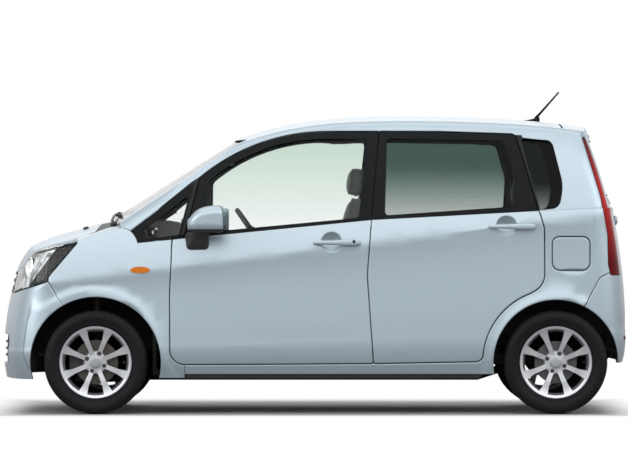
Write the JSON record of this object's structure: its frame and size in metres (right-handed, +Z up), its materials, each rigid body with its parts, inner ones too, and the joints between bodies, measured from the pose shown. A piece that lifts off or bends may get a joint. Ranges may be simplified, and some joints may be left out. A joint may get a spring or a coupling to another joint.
{
  "type": "kei car",
  "caption": "Tall five-door kei hatchback with opening doors, tailgate and bonnet, steered front wheels and a furnished cabin.",
  "frame": {"origin": "on the ground under the middle of the car's box", "axes": "+X to the tail, +Y to the car's right, +Z up"},
  "size_m": [3.3922, 1.8358, 1.7445],
  "materials": {
    "paint": "pale silver-blue metallic",
    "mirror_shell": "painted",
    "clear_glass": "light green tint",
    "dark_glass": "dark privacy tint",
    "tyre": "matte",
    "alloy": "painted silver",
    "iron": "machined and bare",
    "black_trim": "grained black",
    "lamp_clear": "clear lens",
    "lamp_red": "red lens",
    "lamp_amber": "amber lens",
    "chassis": "black underbody coat",
    "fabric": "woven grey",
    "dash": "grained dark grey"
  },
  "bodies": {
    "body_shell": {"aerial": "black_trim", "cowl_panel": "black_trim", "dashboard": "dash", "engine_block": "iron", "exhaust": "chassis", "fender_left": "paint", "fender_right": "paint", "fixed_side_glass": "dark_glass", "floor_pan": "chassis", "front_bumper": "paint", "front_seats": "fabric", "front_subframe": "chassis", "grille": "black_trim", "headlamps": "lamp_clear", "quarter_frames": "black_trim", "rear_axle": "chassis", "rear_bumper": "paint", "rear_seat": "fabric", "roof_panel": "paint", "side_frame_left": "paint", "side_frame_right": "paint", "side_repeaters": "lamp_amber", "sill_trim": "black_trim", "tail_lamps": "lamp_red", "windscreen": "clear_glass"},
    "front_door_left": {"front_door_left": "paint", "front_glass_left": "clear_glass", "mirror_left": "mirror_shell"},
    "front_door_right": {"front_door_right": "paint", "front_glass_right": "clear_glass", "mirror_right": "mirror_shell"},
    "rear_door_left": {"rear_door_left": "paint", "rear_glass_left": "dark_glass"},
    "rear_door_right": {"rear_door_right": "paint", "rear_glass_right": "dark_glass"},
    "tailgate": {"tailgate": "paint", "tailgate_glass": "dark_glass"},
    "bonnet": {"bonnet": "paint"},
    "fuel_lid": {"fuel_lid": "paint"},
    "knuckle_left": {"knuckle_left": "iron"},
    "knuckle_right": {"knuckle_right": "iron"},
    "front_wheel_left": {"front_tyre_left": "tyre", "front_rim_left": "alloy", "brake_disc_left": "iron"},
    "front_wheel_right": {"front_tyre_right": "tyre", "front_rim_right": "alloy", "brake_disc_right": "iron"},
    "rear_wheel_left": {"rear_tyre_left": "tyre", "rear_rim_left": "alloy"},
    "rear_wheel_right": {"rear_tyre_right": "tyre", "rear_rim_right": "alloy"},
    "steering_wheel": {"steering_wheel": "black_trim"}
  },
  "joints": [
    {"name": "front_door_left_hinge", "type": "hinge", "parent": "body_shell", "child": "front_door_left", "pos_m": [-0.796, -0.722, 0.6], "axis": [0, -0.061, -0.9981], "range_deg": [0, 66]},
    {"name": "rear_door_left_hinge", "type": "hinge", "parent": "body_shell", "child": "rear_door_left", "pos_m": [0.257, -0.722, 0.7], "axis": [0, -0.061, -0.9981], "range_deg": [0, 70]},
    {"name": "front_door_right_hinge", "type": "hinge", "parent": "body_shell", "child": "front_door_right", "pos_m": [-0.796, 0.722, 0.6], "axis": [0, -0.061, 0.9981], "range_deg": [0, 66]},
    {"name": "rear_door_right_hinge", "type": "hinge", "parent": "body_shell", "child": "rear_door_right", "pos_m": [0.257, 0.722, 0.7], "axis": [0, -0.061, 0.9981], "range_deg": [0, 70]},
    {"name": "tailgate_hinge", "type": "hinge", "parent": "body_shell", "child": "tailgate", "pos_m": [1.316, 0, 1.545], "axis": [0, -1, 0], "range_deg": [0, 84]},
    {"name": "bonnet_hinge", "type": "hinge", "parent": "body_shell", "child": "bonnet", "pos_m": [-1.118, 0, 1.012], "axis": [0, 1, 0], "range_deg": [0, 58]},
    {"name": "fuel_lid_hinge", "type": "hinge", "parent": "body_shell", "child": "fuel_lid", "pos_m": [1.2555, -0.716, 0.856], "axis": [0, 0, -1], "range_deg": [0, 90]},
    {"name": "steer_left", "type": "hinge", "parent": "body_shell", "child": "knuckle_left", "pos_m": [-1.165, -0.606, 0.182], "axis": [0, 0.1836, 0.983], "range_deg": [-34, 34]},
    {"name": "front_spin_left", "type": "hinge", "parent": "knuckle_left", "child": "front_wheel_left", "pos_m": [-1.165, -0.65, 0.276], "axis": [0, 1, 0], "continuous": true},
    {"name": "rear_spin_left", "type": "hinge", "parent": "body_shell", "child": "rear_wheel_left", "pos_m": [1.29, -0.65, 0.276], "axis": [0, 1, 0], "continuous": true},
    {"name": "steer_right", "type": "hinge", "parent": "body_shell", "child": "knuckle_right", "pos_m": [-1.165, 0.606, 0.182], "axis": [0, -0.1836, 0.983], "range_deg": [-34, 34]},
    {"name": "front_spin_right", "type": "hinge", "parent": "knuckle_right", "child": "front_wheel_right", "pos_m": [-1.165, 0.65, 0.276], "axis": [0, 1, 0], "continuous": true},
    {"name": "rear_spin_right", "type": "hinge", "parent": "body_shell", "child": "rear_wheel_right", "pos_m": [1.29, 0.65, 0.276], "axis": [0, 1, 0], "continuous": true},
    {"name": "steering_wheel_turn", "type": "hinge", "parent": "body_shell", "child": "steering_wheel", "pos_m": [-0.327, 0.33, 0.951], "axis": [0.8192, 0, 0.5736], "range_deg": [-540, 540]}
  ],
  "couplings": [
    {"joint": "steer_left", "follows": "steering_wheel_turn", "ratio": 0.061111},
    {"joint": "steer_right", "follows": "steering_wheel_turn", "ratio": 0.061111}
  ]
}
